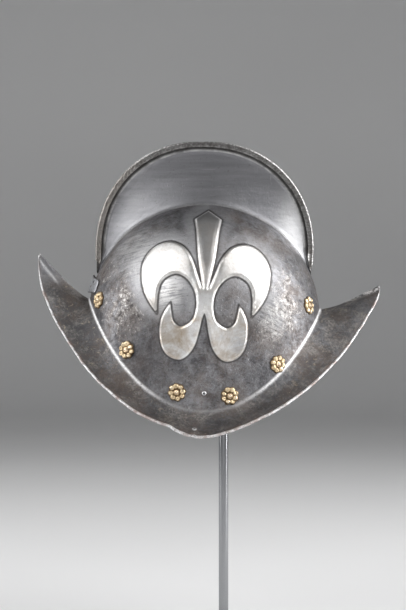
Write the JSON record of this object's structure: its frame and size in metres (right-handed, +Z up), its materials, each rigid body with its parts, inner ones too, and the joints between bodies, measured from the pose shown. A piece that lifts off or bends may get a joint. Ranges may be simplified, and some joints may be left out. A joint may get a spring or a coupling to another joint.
{
  "type": "comb morion helmet on a rod stand",
  "caption": "Comb morion helmet with a tall crescent comb, upturned peaks, a lily raised on each side and brass rosettes, on a rod stand.",
  "frame": {"origin": "middle of the stand base's underside, on the rod's axis", "axes": "+Z up along the rod, +X towards the front peak, +Y to the helmet's far side; the lily in the picture faces -Y"},
  "size_m": [0.3442, 0.2394, 0.4939],
  "materials": {
    "skull_steel": "old polished steel, dark and mottled round the raised lily",
    "plate_steel": "dark worn steel",
    "gilt_brass": "worn gilt brass",
    "stand_chrome": "polished",
    "stand_black": "satin black",
    "pad_leather": "matt"
  },
  "bodies": {
    "root": {"skull_near_half": "skull_steel", "skull_far_half": "skull_steel", "back_plate": "plate_steel", "rosette_near_1": "gilt_brass", "rosette_near_2": "gilt_brass", "rosette_near_3": "gilt_brass", "rosette_near_4": "gilt_brass", "rosette_near_5": "gilt_brass", "rosette_near_6": "gilt_brass", "rosette_far_1": "gilt_brass", "rosette_far_2": "gilt_brass", "rosette_far_3": "gilt_brass", "rosette_far_4": "gilt_brass", "rosette_far_5": "gilt_brass", "rosette_far_6": "gilt_brass", "small_rivet_near": "plate_steel", "small_rivet_far": "plate_steel", "stand_base": "stand_black", "stand_rod": "stand_chrome", "rod_pad": "pad_leather"}
  },
  "joints": []
}
